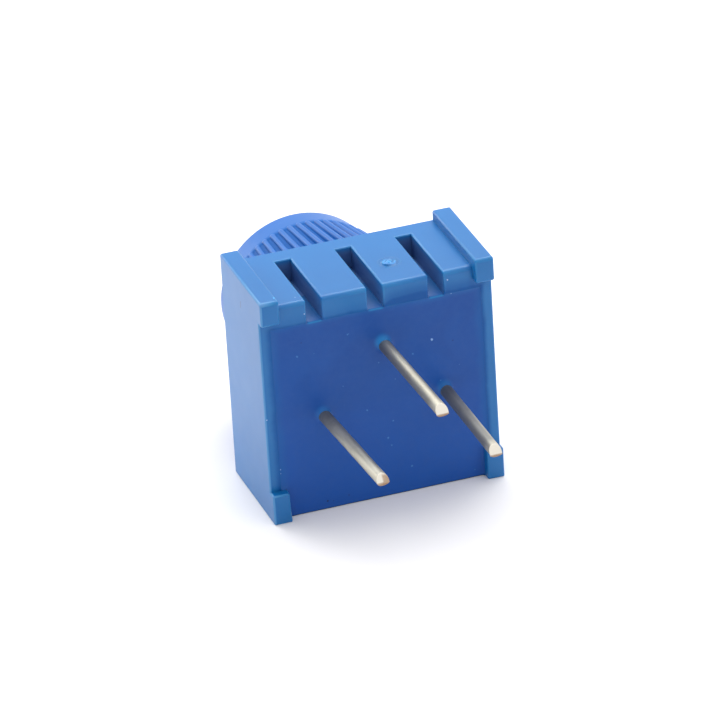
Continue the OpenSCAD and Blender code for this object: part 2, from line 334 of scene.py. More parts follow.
def film_mask(tr):
    """Potting wiped thinly over the front ends of the walls round the pocket."""
    x, y, z = tr.xyz()
    wob = tr.remap(tr.noise(1100, 3, 0.6), 0.3, 0.7, -0.00004, 0.00004)
    xx, zz = tr.math("ADD", x, wob), tr.math("ADD", z, wob)
    m = tr.remap(xx, -0.00464, -0.00428, 0.0, 1.0, kind="SMOOTHSTEP")
    m = tr.math("MULTIPLY", m, tr.remap(xx, 0.00430, 0.00452, 1.0, 0.0, kind="SMOOTHSTEP"))
    # how far it climbs the lip differs from one stretch to the next
    climb = tr.ramp(tr.remap(x, -0.0045, 0.0045, 0.0, 1.0),
                    [(0.0, 0.04), (0.18, 0.03), (0.26, 0.08), (0.46, 0.12), (0.52, 0.10), (0.580, 0.72),
                     (0.72, 0.76), (0.76, 0.62), (0.81, 0.34), (0.98, 0.26)], "EASE")
    up = tr.math("SUBTRACT", zz, tr.math("MULTIPLY", climb, 0.00042))
    full = tr.remap(up, POCK_Z1 / 1000 - 0.00008, POCK_Z1 / 1000 + 0.00018, 1.0, 0.0, kind="SMOOTHSTEP")
    thin = tr.remap(up, POCK_Z1 / 1000, POCK_Z1 / 1000 + 0.00055, 0.30, 0.0, kind="SMOOTHSTEP")
    thin = tr.math("MULTIPLY", thin, tr.remap(x, -0.0002, 0.0006, 1.0, 2.1))
    m = tr.math("MULTIPLY", m, tr.math("MAXIMUM", full, thin))
    m = tr.math("MULTIPLY", m, tr.remap(y, OY + 0.00034, OY + 0.00036, 0.0, 1.0))
    return tr.math("MULTIPLY", m, tr.remap(y, OY + 0.00040, OY + 0.00046, 1.0, 0.0))


def spots(tr, pts):
    """Small irregular marks at stated places: (x, y, z, radius) in working millimetres."""
    wob = tr.remap(tr.noise(21000, 2, 0.5), 0.3, 0.7, -0.000012, 0.000012)
    out = None
    for x, y, z, r in pts:
        n = tr.t.nodes.new("ShaderNodeVectorMath")
        n.operation = "DISTANCE"
        tr.t.links.new(tr.co, n.inputs[0])
        n.inputs[1].default_value = (x / 1000, OY + y / 1000, z / 1000)
        d = tr.remap(tr.math("ADD", n.outputs["Value"], wob), r * 0.0006, r * 0.001, 1.0, 0.0)
        out = d if out is None else tr.math("MAXIMUM", out, d)
    return out


def scratch_mask(tr):
    """One fine upright scratch high on the left side."""
    x, y, z = tr.xyz()
    wob = tr.remap(tr.noise(5200, 2, 0.5), 0.3, 0.7, -0.000012, 0.000012)
    line = tr.math("SUBTRACT", tr.math("ADD", y, wob), OY + 0.002565)
    line = tr.math("ABSOLUTE", tr.math("ADD", line, tr.math("MULTIPLY", tr.math("SUBTRACT", z, 0.008515), 0.2)))
    m = tr.remap(line, 0.000025, 0.000060, 0.75, 0.0)
    m = tr.math("MULTIPLY", m, tr.remap(tr.math("ABSOLUTE", tr.math("SUBTRACT", z, 0.008515)),
                                        0.00013, 0.00019, 1.0, 0.0))
    return tr.math("MULTIPLY", m, tr.remap(x, -W2 / 1000 + 0.00001, -W2 / 1000 + 0.00003, 1.0, 0.0))


# dust grains and pits where handling has left them, and a small painted highlight near the front of the left rail's
# inner top edge
DUST_HOUSING = [(-3.10, 0.82, DECK, 0.035), (-2.90, 0.38, 8.69, 0.035), (0.98, 0.39, 9.16, 0.028),
                (2.98, 0.38, 8.88, 0.032), (-4.71, 0.38, 4.465, 0.028)]
# painted highlight: small pale marks on the rounded inner top edge of the left rail, near its front
GLINT_HOUSING = [(-4.10, 0.34, BH, 0.040), (-4.075, 0.40, BH, 0.042), (-4.05, 0.47, BH, 0.034)]
DARK_HOUSING = [(4.60, 0.01, BH - 0.02, 0.055)]
DUST_POTTING = [(2.22, 0.42, 6.43, 0.060), (3.10, 0.38, 8.25, 0.035), (-4.29, 0.39, 2.18, 0.035),
                (-4.28, 0.39, 2.01, 0.030)]
FAINT_POTTING = [(1.41, 0.42, 5.98, 0.05), (-0.60, 0.42, 3.95, 0.045), (0.20, 0.42, 2.55, 0.055),
                 (0.32, 0.42, 2.20, 0.045), (0.45, 0.42, 3.25, 0.045), (-3.30, 0.42, 6.90, 0.05),
                 (3.45, 0.42, 3.10, 0.045), (-1.20, 0.42, 7.40, 0.045), (1.10, 0.42, 1.10, 0.05)]
PITS_POTTING = [(-2.44, 0.42, 0.355, 0.050), (-2.20, 0.42, 0.31, 0.030)]


def mat_plastic(name, base, dark, light, rough, specks=0.0, spec=0.5, slots=False, groove_shade_amount=0.0, glow=0.0, nub=None):
    tr = Tree(name)
    tr.set(Roughness=rough, IOR=1.5, Specular_IOR_Level=spec, Coat_Weight=0.0)
    if glow:                         # light carries a little way through the pale resin at edges
        tr.set(Subsurface_Weight=glow, Subsurface_Radius=(0.3, 0.8, 1.0), Subsurface_Scale=0.00022)
    flow = tr.noise(260, 4, 0.55, 0.6)
    fine = tr.noise(5200, 3, 0.6)
    col = tr.mix(tr.remap(flow, 0.3, 0.7, 0.0, 1.0), dark, light)
    col = tr.mix(tr.remap(fine, 0.35, 0.65, 0.0, 0.16), col, base)
    if slots:                        # the resin is a little paler toward the knob side
        _, yy, _ = tr.xyz()
        col = tr.mix(tr.remap(yy, OY + 0.0015, OY + 0.0049, 0.0, 0.35), col, (0.006, 0.185, 0.520))
    if specks:
        m = speck_mask(tr, 1500, 0.055, specks)
        col = tr.mix(m, col, (0.62, 0.74, 0.88))
    if slots:
        shade = slot_shade(tr)
        film = film_mask(tr)
        # painted shade: deep in the slots the walls are painted a greyer, duller blue and made less glossy
        col = tr.mix(tr.math("MULTIPLY", shade, 0.86), col, (0.062, 0.125, 0.315))
        col = tr.mix(film, col, (0.001, 0.076, 0.300))
        level = tr.math("SUBTRACT", spec, tr.math("MULTIPLY", film, 0.24))
        level = tr.math("SUBTRACT", level, tr.math("MULTIPLY", shade, 0.20))
        tr.link(tr.math("MAXIMUM", level, 0.05), "Specular IOR Level")
        # painted highlight: the roundings are painted paler, most along the upper left edge
        edge = tr.attr("edge")
        col = tr.mix(edge, col, (0.022, 0.235, 0.500))
        col = tr.mix(tr.remap(edge, 0.5, 1.0, 0.0, 1.0), col, (0.085, 0.250, 0.500))
        col = tr.mix(scratch_mask(tr), col, (0.002, 0.050, 0.180))
        col = tr.mix(spots(tr, DUST_HOUSING), col, (0.36, 0.50, 0.72))
        # painted highlight near the front of the left rail's inner top edge
        col = tr.mix(spots(tr, GLINT_HOUSING), col, (0.08, 0.42, 0.82))
        col = tr.mix(spots(tr, DARK_HOUSING), col, (0.004, 0.012, 0.040))
    # painted shade: the grooves between the knob's ribs are painted darker and made less glossy
    if groove_shade_amount:
        gap = tr.attr("gap")
        col = tr.mix(tr.math("MULTIPLY", gap, groove_shade_amount), col, (0.003, 0.068, 0.265))
        tr.link(tr.math("SUBTRACT", spec, tr.math("MULTIPLY", gap, spec * 0.75)), "Specular IOR Level")
    # painted highlight: the raised parts of the gate nub are painted paler
    if nub:
        col = tr.mix(tr.attr("nub"), col, nub)
    tr.link(col, "Base Color")
    grain = tr.math("MULTIPLY", tr.math("SUBTRACT", tr.noise(1300, 2, 0.5), 0.5), 0.06)
    tr.link(tr.math("ADD", grain, rough), "Roughness")
    wave = tr.noise(420, 2, 0.4)
    tr.bump([(wave, 0.35, 2.2e-5)])
    return tr.mat


def mat_potting():
    tr = Tree("potting_epoxy")
    tr.set(IOR=1.5, Specular_IOR_Level=0.30)
    x, y, z = tr.xyz()
    ax = tr.math("ABSOLUTE", x)
    # distance to the nearest visible wall, metres: left, right and upper wall
    d_side = tr.math("SUBTRACT", POCK_X / 1000, ax)
    d_top = tr.math("SUBTRACT", POCK_Z1 / 1000, z)
    wob = tr.remap(tr.noise(900, 3, 0.6), 0.3, 0.7, -0.00007, 0.00007)
    side = tr.remap(tr.math("ADD", d_side, wob), 0.0, 0.00042, 0.80, 0.0, kind="SMOOTHSTEP")
    top = tr.remap(tr.math("ADD", d_top, wob), 0.0, 0.00030, 0.80, 0.0, kind="SMOOTHSTEP")
    near = tr.math("MAXIMUM", side, top)
    cloud = tr.noise(420, 5, 0.6, 0.8)
    col = tr.mix(tr.remap(cloud, 0.3, 0.7, 0.0, 1.0), (0.002, 0.054, 0.268), (0.003, 0.067, 0.310))
    # painted light: paler toward the bottom, in place of light thrown up from the floor
    col = tr.mix(tr.remap(z, 0.0, 0.006, 0.55, 0.0), col, (0.003, 0.080, 0.390))
    grain = tr.noise(3800, 3, 0.6)
    col = tr.mix(tr.remap(grain, 0.4, 0.75, 0.0, 0.35), col, (0.012, 0.075, 0.30))
    col = tr.mix(near, col, (0.003, 0.088, 0.330))
    m1 = speck_mask(tr, 1150, 0.045, 0.30)
    m2 = speck_mask(tr, 2700, 0.085, 0.14)
    sp = tr.math("MAXIMUM", m1, m2)
    col = tr.mix(tr.math("MULTIPLY", sp, 0.55), col, (0.06, 0.20, 0.48))
    pit = speck_mask(tr, 1300, 0.06, 0.07)
    col = tr.mix(tr.math("MULTIPLY", pit, 0.6), col, (0.006, 0.03, 0.13))
    # painted highlight: a paler halo beside each wire's root, where the meniscus catches light
    for (cx, cz), amount in (((-2.40, 4.24), 0.34), ((0.19, 6.80), 0.80), ((2.61, 4.27), 0.36)):
        n = tr.t.nodes.new("ShaderNodeVectorMath")
        n.operation = "DISTANCE"
        tr.t.links.new(tr.co, n.inputs[0])
        n.inputs[1].default_value = (cx / 1000, OY + 0.00036, cz / 1000)
        col = tr.mix(tr.remap(n.outputs["Value"], 0.00012, 0.00042, amount, 0.0, kind="SMOOTHSTEP"),
                     col, (0.006, 0.210, 0.560))
    col = tr.mix(spots(tr, DUST_POTTING), col, (0.20, 0.36, 0.66))
    col = tr.mix(spots(tr, FAINT_POTTING), col, (0.035, 0.155, 0.43))
    col = tr.mix(spots(tr, PITS_POTTING), col, (0.004, 0.015, 0.060))
    # painted shade: the lower edge, where the potting meets the floor, is a thin dark line; the floors of the slots are
    # a greyer blue and less glossy further in
    low = tr.remap(z, 0.00002, 0.00007, 0.8, 0.0)
    col = tr.mix(low, col, (0.004, 0.028, 0.060))
    inner = tr.math("MULTIPLY", tr.remap(z, POCK_Z1 / 1000 - 0.00005, POCK_Z1 / 1000 - 0.00002, 0.0, 1.0),
                    tr.remap(y, OY + 0.00048, OY + 0.0012, 0.35, 1.0, kind="SMOOTHSTEP"))
    col = tr.mix(tr.math("MULTIPLY", inner, 0.92), col, (0.012, 0.100, 0.300))
    # painted highlight: a pale line along the rounded mouth of each slot in the potting
    k = tr.math("ROUND", tr.math("DIVIDE", x, SLOT_P / 1000))
    d = tr.math("ABSOLUTE", tr.math("SUBTRACT", x, tr.math("MULTIPLY", k, SLOT_P / 1000)))
    line = tr.math("MULTIPLY", tr.remap(d, 0.00024, 0.00034, 1.0, 0.0),
                   tr.remap(ax, 0.0031, 0.0034, 1.0, 0.0))
    line = tr.math("MULTIPLY", line, tr.remap(z, POCK_Z1 / 1000 - 0.00011, POCK_Z1 / 1000 - 0.00006, 0.0, 0.8))
    line = tr.math("MULTIPLY", line, tr.remap(z, POCK_Z1 / 1000 - 0.00004, POCK_Z1 / 1000 - 0.00001, 1.0, 0.0))
    col = tr.mix(line, col, (0.012, 0.190, 0.470))
    tr.link(tr.math("SUBTRACT", 0.30, tr.math("MULTIPLY", inner, 0.15)), "Specular IOR Level")
    tr.link(col, "Base Color")
    tr.link(tr.remap(tr.noise(1500, 4, 0.6), 0.25, 0.75, 0.30, 0.46), "Roughness")
    tr.bump([(tr.noise(800, 3, 0.5), 0.4, 1.6e-5), (grain, 0.25, 3.0e-6), (sp, 0.5, 4e-6)])
    return tr.mat


def mat_tin():
    tr = Tree("tinned_copper")
    tr.set(Metallic=0.74, IOR=1.5)
    grime = tr.attr("base")          # 1 at the potting, 0 toward the tip
    cut = tr.attr("cut")             # 1 where the copper core is bare
    face = tr.attr("face")           # 1 on the sheared facet, where the tin is bright
    drawn = tr.noise(2600, 4, 0.65, stretch=(1.0, 0.10, 1.0))
    lump = tr.noise(1700, 3, 0.55)
    col = tr.mix(tr.remap(drawn, 0.3, 0.7, 0.0, 1.0), (0.43, 0.405, 0.325), (0.57, 0.545, 0.455))
    col = tr.mix(tr.remap(lump, 0.52, 0.72, 0.0, 0.40), col, (0.40, 0.345, 0.265))
    col = tr.mix(tr.math("MULTIPLY", face, 0.9), col, (0.78, 0.74, 0.65))
    # painted shade: each wire is painted darker along one side
    stain = tr.math("MULTIPLY", tr.attr("stain"), tr.remap(drawn, 0.3, 0.7, 0.80, 1.10), clamp=True)
    col = tr.mix(stain, col, (0.115, 0.125, 0.145))
    dull = tr.math("MULTIPLY", grime, tr.remap(lump, 0.25, 0.7, 0.55, 0.9))
    col = tr.mix(dull, col, (0.185, 0.190, 0.190))
    cm = tr.math("MULTIPLY", cut, tr.remap(lump, 0.3, 0.6, 0.65, 1.0), clamp=True)
    col = tr.mix(cm, col, (0.29, 0.150, 0.060))
    tr.link(col, "Base Color")
    r = tr.math("ADD", tr.math("MULTIPLY", tr.math("SUBTRACT", drawn, 0.5), 0.20), 0.44)
    r = tr.math("ADD", r, tr.math("MULTIPLY", grime, 0.10), clamp=True)
    tr.link(r, "Roughness")
    tr.bump([(lump, 0.6, 1.4e-5), (drawn, 0.5, 4e-6)])
    return tr.mat


def mat_metal(name, c0, c1, rough, scale=3000, stretch=None):
    tr = Tree(name)
    tr.set(Metallic=1.0)
    n = tr.noise(scale, 4, 0.6, stretch=stretch)
    tr.link(tr.mix(tr.remap(n, 0.3, 0.7, 0, 1), c0, c1), "Base Color")
    tr.link(tr.remap(n, 0.25, 0.75, rough - 0.07, rough + 0.08), "Roughness")
    tr.bump([(n, 0.4, 4e-6)])
    return tr.mat


def mat_matte(name, c0, c1, rough, scale=2500, bump=4e-6, metallic=0.0):
    tr = Tree(name)
    tr.set(Metallic=metallic, IOR=1.5)
    n = tr.noise(scale, 4, 0.6)
    tr.link(tr.mix(tr.remap(n, 0.3, 0.7, 0, 1), c0, c1), "Base Color")
    tr.link(tr.remap(tr.noise(scale * 2.2, 3, 0.6), 0.25, 0.75, rough - 0.06, rough + 0.06), "Roughness")
    tr.bump([(n, 0.4, bump)])
    return tr.mat


M_HOUSING = mat_plastic("housing_plastic", (0.003, 0.140, 0.402), (0.002, 0.129, 0.378),
                        (0.003, 0.142, 0.410), 0.31, spec=0.46, slots=True, glow=0.30)
M_KNOB = mat_plastic("knob_plastic", (0.016, 0.134, 0.455), (0.013, 0.122, 0.420),
                     (0.018, 0.137, 0.465), 0.40, spec=0.22, groove_shade_amount=0.50)
M_POT = mat_potting()
M_TIN = mat_tin()

# ---------------------------------------------------------------- camera
cam_data = bpy.data.cameras.new("camera")
cam_data.sensor_width = 36.0
cam_data.lens = 332.885
cam_data.clip_start = 0.01
cam_data.clip_end = 10.0
cam = bpy.data.objects.new("camera", cam_data)
cam.location = (-0.0702580, OY - 0.2184263, 0.1244874)
cam.rotation_euler = Euler((math.radians(62.6982), math.radians(3.2012), math.radians(-19.2682)), "XYZ")
scene.collection.objects.link(cam)
scene.camera = cam


# ---------------------------------------------------------------- housing
def build_housing():
    xr = W2 - 0.775                            # inner side of an upper rail and foot

    def mir(pts, s):
        return [(s * a, b) for a, b in pts]

    ob = temp(box_bm(-W2, W2, FOOT_L, BD, 0.0, DECK))
    for s in (-1, 1):
        rail = mir([(W2, DECK - 0.5), (W2, BH), (xr, BH), (xr, DECK - 0.5)], s)
        ob = combine(ob, temp(prism_bm(rail, FOOT_L, BD)), "UNION")
    ob = combine(ob, temp(box_bm(-POCK_X, POCK_X, -1, 2.65, 0.6, POCK_Z1)), "DIFFERENCE")
    ob = combine(ob, temp(box_bm(-POCK_X, POCK_X, -1, 0.8, -1, 0.7)), "DIFFERENCE")
    for i in (-1, 0, 1):
        ob = combine(ob, temp(box_bm(i * SLOT_P - SLOT_H, i * SLOT_P + SLOT_H, -1, 4.12, POCK_Z1, 12)), "DIFFERENCE")
    fw, fh = FOOT_D
    for s in (-1, 1):
        zf = BH - FOOT_U[1]
        foot = mir([(W2, zf), (W2, BH), (xr, BH), (xr, zf)], s)
        ob = combine(ob, temp(prism_bm(foot, 0.0, 0.98)), "UNION")
        # the left lower foot flares a little toward its bottom corner
        fl = 0.055 if s < 0 else 0.0
        low = mir([(W2, 0.0), (W2, fh), (W2 - fw, fh), (W2 - fw - fl * 0.3, 0.6), (W2 - fw - fl, 0.0)], s)
        ob = combine(ob, temp(prism_bm(low, 0.0, 0.98)), "UNION")
    bm = take_bm(ob)
    bmesh.ops.remove_doubles(bm, verts=bm.verts, dist=2e-4)
    bmesh.ops.dissolve_limit(bm, angle_limit=math.radians(0.4), verts=bm.verts, edges=bm.edges)
    bmesh.ops.recalc_face_normals(bm, faces=bm.faces)

    # moulded edges are rounded, most of all along the front of the upper side; the pocket's rim
    # stays sharp under the potting
    def rim(e):
        a, b = (v.co for v in e.verts)
        inside = all(abs(abs(c.x) - POCK_X) < 1e-3 or abs(c.z - POCK_Z1) < 2e-3 for c in (a, b))
        return inside and min(a.y, b.y) < 0.9 and max(a.z, b.z) < POCK_Z1 + 0.01

    def radius(e):
        a, b = (v.co for v in e.verts)
        d = b - a
        if rim(e):
            return 0.0
        if max(a.z, b.z) < 0.62 and min(a.y, b.y) > 0.5 and max(abs(a.x), abs(b.x)) < POCK_X + 0.01:
            return 0.0
        if all(0.6 < v.y < 3.0 and abs(v.x) < POCK_X + 0.01 and v.z < POCK_Z1 + 0.01 for v in (a, b)):
            return 0.0
        flat_x = abs(d.x) > 0.9 * d.length
        flat_y = abs(d.y) > 0.9 * d.length
        if min(a.y, b.y) > BD - 0.01:
            return 0.045
        if flat_x and abs(a.z - DECK) < 0.01 and abs(a.y - FOOT_L) < 0.01:
            return 0.20
        if flat_x and abs(a.z - BH) < 0.01 and a.y < 0.01:
            return 0.16
        if flat_y and min(a.z, b.z) > DECK + 0.1:
            return 0.10
        if max(a.z, b.z) < 0.01:
            return 0.05
        return 0.085

    lay = bm.edges.layers.float.new("bevel_weight_edge")
    for e in bm.edges:
        if len(e.link_faces) == 2 and e.calc_face_angle(0) > math.radians(30) and e.is_convex:
            e[lay] = radius(e) / 0.2
    ob = temp(bm)
    mod = ob.modifiers.new("bevel", "BEVEL")
    mod.limit_method = "WEIGHT"
    mod.width = 0.2
    mod.segments = 5
    mod.offset_type = "OFFSET"
    mod.use_clamp_overlap = True
    dg = bpy.context.evaluated_depsgraph_get()
    me = bpy.data.meshes.new_from_object(ob.evaluated_get(dg))
    ob.modifiers.clear()
    old, ob.data = ob.data, me
    bpy.data.meshes.remove(old)
    # the lower side between the rails stands 0.03 mm up; chamber, ring gland and bore are cut
    # after the edges are rounded
    ob = combine(ob, temp(box_bm(-W2 + fw + 0.06, W2 - fw, 1.3, BD + 1, -1, 0.03)), "DIFFERENCE")
    for r, y0, y1 in ((3.3, 2.55, 4.07), (2.06, 4.0, 4.57), (1.6, 4.4, 6.0)):
        ob = combine(ob, temp(cyl_bm(0, AZ, r, y0, y1)), "DIFFERENCE")
    return take_bm(ob)


def paint_edge_highlight(bm):
    """Painted highlight: the edge layer is 1 along the middle of a rounding, 0 on flat faces, and paints the roundings
    paler in place of light gathering in the resin.
    """
    lay = bm.verts.layers.float.new("edge")
    flat = {f.index: max(abs(c) for c in f.normal) > 0.999 for f in bm.faces}
    for v in bm.verts:
        if any(flat[f.index] for f in v.link_faces) or v.co.y > BD - 0.1:
            continue
        x, y, z = v.co
        if z > DECK + 0.15 and x < -W2 + 0.12:
            k = 1.0
        elif x < -W2 + 0.1 and y < 0.6:
            k = 0.75
        elif abs(y - FOOT_L) < 0.22 and DECK - 0.21 < z < DECK + 0.001 and abs(abs(x) % SLOT_P - SLOT_H) > 0.1:
            k = 0.0
        elif z > DECK - 0.2:
            k = 0.35
        else:
            k = 0.2
        v[lay] = k


bm = build_housing()
bm.normal_update()
bm.faces.index_update()
paint_edge_highlight(bm)
housing = finish_mesh(bm, "housing_body", "base", ("housing",), 40, (M_HOUSING,))
flatten_shading(housing)


# ---------------------------------------------------------------- gate mark
def build_gate():
    """Round gate scar on the upper side: a faint ring with a torn, leaning nub in it."""
    bm = bmesh.new()
    nub_highlight_l = bm.verts.layers.float.new("nub")
    rings, n = [], 56
    prof = [(0.50, -0.012), (0.47, 0.001), (0.44, 0.010), (0.41, 0.001), (0.36, -0.001), (0.325, 0.002), (0.305, 0.018),
            (0.280, 0.050), (0.25, 0.062), (0.215, 0.056), (0.185, 0.030), (0.155, 0.016), (0.125, 0.016),
            (0.10, 0.036), (0.075, 0.050), (0.045, 0.054), (0.02, 0.052)]
    for r, h in prof:
        ring = []
        for i in range(n):
            a = 2 * math.pi * i / n
            k = 1 + 0.08 * noise.noise(Vector((math.cos(a) * 1.3, math.sin(a) * 1.3, r * 9)))
            # the torn ring is highest toward the front and nearly gone at the right and back
            lean = 0.55 + 0.55 * math.cos(a - math.radians(235)) if 0.13 < r < 0.34 else 1.0
            hh = h * lean + (0.028 * noise.noise(Vector((math.cos(a) * 1.5 + 5, math.sin(a) * 1.5, r * 14))) if r < 0.34 else 0)
            v = bm.verts.new((1.20 + r * k * math.cos(a), 2.11 + r * k * math.sin(a), DECK + hh))
            # painted highlight mask: paler on the nub, most where it stands highest
            v[nub_highlight_l] = smooth((0.30 - r) / 0.06) * (0.25 + 0.75 * smooth(hh / 0.05))
            ring.append(v)
        rings.append(ring)
    for a, b in zip(rings, rings[1:]):
        for i in range(n):
            bm.faces.new((a[i], a[(i + 1) % n], b[(i + 1) % n], b[i]))
    bm.faces.new(rings[-1])
    low = [bm.verts.new((v.co.x, v.co.y, DECK - 0.03)) for v in rings[0]]
    for i in range(n):
        bm.faces.new((rings[0][i], low[i], low[(i + 1) % n], rings[0][(i + 1) % n]))
    bm.faces.new(low[::-1])
    return bm


M_GATE = mat_plastic("gate_scar", (0.003, 0.140, 0.402), (0.002, 0.129, 0.378), (0.003, 0.142, 0.410), 0.30,
                     glow=0.30, nub=(0.020, 0.270, 0.640))
gate = finish_mesh(build_gate(), "gate_mark", "base", smooth_angle=60, mats=(M_GATE,))


# ---------------------------------------------------------------- terminals
def pin_axis(name):
    m = PINS[name]
    p = Vector(m["pos_m"])
    p = Vector((p.x * 1000, (p.y - OY) * 1000, p.z * 1000))
    return p, Vector(m["axis"]).normalized()


PIN_FACTS = {   # wedge height, facet length, seed, how the copper shows
    "terminal_1": (-0.10, 0.26, 3.1, "side"),
    "terminal_2": (-0.13, 0.30, 7.7, "edge"),
    "terminal_3": (-0.14, 0.28, 12.4, "edge"),
}
# painted shade: each wire is painted darker along one side: (angle from +X toward +Z, amount), and how far short of the
# tip that ends
PIN_SIDE_SHADE = {
    "terminal_1": ([(0, 0.8), (35, 0.8), (70, 0.62), (100, 0.36), (135, 0.05), (180, 0.0), (220, 0.5),
                    (360, 0.8)], 0.9),
    "terminal_2": ([(0, 0.8), (40, 0.72), (62, 0.42), (82, 0.05), (100, 0.0), (125, 0.30), (150, 0.62),
                    (205, 0.78), (360, 0.8)], 0.8),
    "terminal_3": ([(0, 0.8), (35, 0.62), (52, 0.36), (72, 0.52), (110, 0.50), (150, 0.62), (205, 0.78),
                    (360, 0.8)], 0.5),
}


def side_shade_at(name, ang, t):
    table, clear = PIN_SIDE_SHADE[name]
    ang %= 360
    for (a0, v0), (a1, v1) in zip(table, table[1:]):
        if a0 <= ang <= a1:
            v = v0 + (v1 - v0) * (ang - a0) / (a1 - a0)
            break
    return v * smooth((t - 0.30) / clear)


def build_pin(name):
    p, d = pin_axis(name)
    zw, tl, seed, cutkind = PIN_FACTS[name]
    r0 = PINS[name]["dims"]["r_mm"] - 0.004
    lo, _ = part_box(name)
    length = (p.y - (lo.y - OY) * 1000) / -d.y - 0.009
    tb = 0.13
    side = Vector((0, 0, 1)).cross(d).normalized() * -1      # about -X
    up = d.cross(side).normalized()
    if up.z < 0:
        up = -up
    ts = []
    t = 0.0
    while t < length + 0.9:
        ts.append(t)
        t += 0.016 if t < 0.40 else 0.05 if t < 1.0 else 0.11
    n = 56
    bm = bmesh.new()
    cut_l = bm.verts.layers.float.new("cut")
    base_l = bm.verts.layers.float.new("base")
    face_l = bm.verts.layers.float.new("face")
    side_shade_l = bm.verts.layers.float.new("stain")
    rings = []
    for t in ts:
        s = length - t
        c = p + d * s
        ring = []
        for i in range(n):
            a = 2 * math.pi * i / n
            k = 1 + 0.018 * noise.noise(Vector((math.cos(a) * 0.9 + seed, s * 1.1, math.sin(a) * 0.9)))
            k += 0.008 * noise.noise(Vector((math.cos(a) * 2.5, s * 4.0 + seed, math.sin(a) * 2.5)))
            k = min(k, 1.012)
            x, z = r0 * k * math.cos(a), r0 * k * math.sin(a)
            zt = zw + (0.27 - zw) * min(1, t / tl) ** 0.92 + (0.2 if t > tl else 0)
            zb = zw - (0.27 + zw) * min(1, t / tb) ** 0.7 - (0.2 if t > tb else 0)
            cut = face = 0.0
            if z > zt:
                if cutkind == "side":
                    cut = 0.85 * smooth((-x + 0.03) / 0.08) * smooth((0.20 - t) / 0.08 + 0.4)
                face = 1.0
                z = zt
            if z < zb:
                z = zb
                cut = 1.0
            if t < 0.02:
                cut = max(cut, 0.8)
            v = bm.verts.new(c + side * x + up * z)
            v[cut_l] = cut
            v[face_l] = face
            v[side_shade_l] = side_shade_at(name, 180 - math.degrees(a), t)
            v[base_l] = (0.30 if name == "terminal_2" else 1.0) * (smooth((1.3 - s) / 1.3) if s > 0 else 1.0)
            ring.append(v)
        rings.append(ring)
    for a, b in zip(rings, rings[1:]):
        for i in range(n):
            bm.faces.new((a[i], a[(i + 1) % n], b[(i + 1) % n], b[i]))
    bm.faces.new(rings[0])
    bm.faces.new(rings[-1][::-1])
    bmesh.ops.remove_doubles(bm, verts=bm.verts, dist=1e-4)
    return finish_mesh(bm, name + "_wire", "base", (name,), 38, (M_TIN,))


for nm in PINS:
    build_pin(nm)


